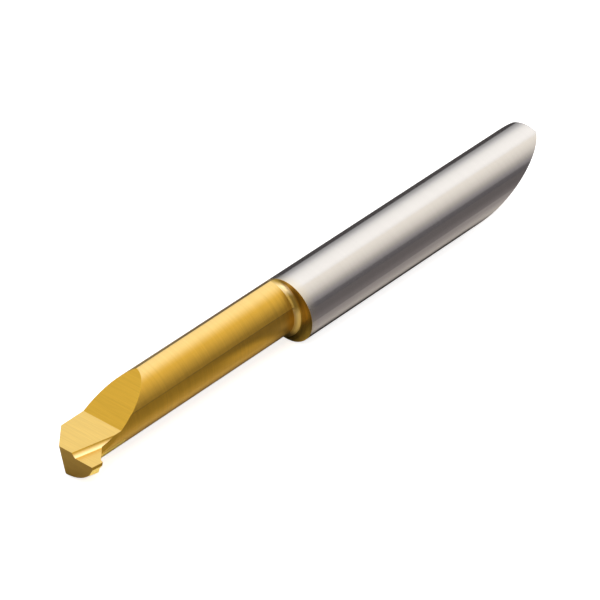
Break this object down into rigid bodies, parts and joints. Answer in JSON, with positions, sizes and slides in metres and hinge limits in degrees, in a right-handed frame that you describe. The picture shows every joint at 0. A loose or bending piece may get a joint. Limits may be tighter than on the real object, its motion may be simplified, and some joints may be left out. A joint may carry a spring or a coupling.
{
  "type": "boring bar",
  "caption": "One-piece carbide boring bar: a round shank with an inclined locating flat, an eccentric neck and a flat-topped head with a chip-breaker and a side cutting tooth.",
  "frame": {"origin": "on the shank's axis, at the shoulder where the shank ends and the neck begins", "axes": "+X along the shank's axis from its rear towards the cutting head, +Y to the side that cuts, +Z the upward normal of the head's flat top"},
  "size_m": [0.0573, 0.006, 0.006],
  "materials": {
    "carbide": "ground cemented carbide, bare on the shank and gold-coloured coating on the neck and head"
  },
  "bodies": {
    "root": {"boring_bar": "carbide"}
  },
  "joints": []
}
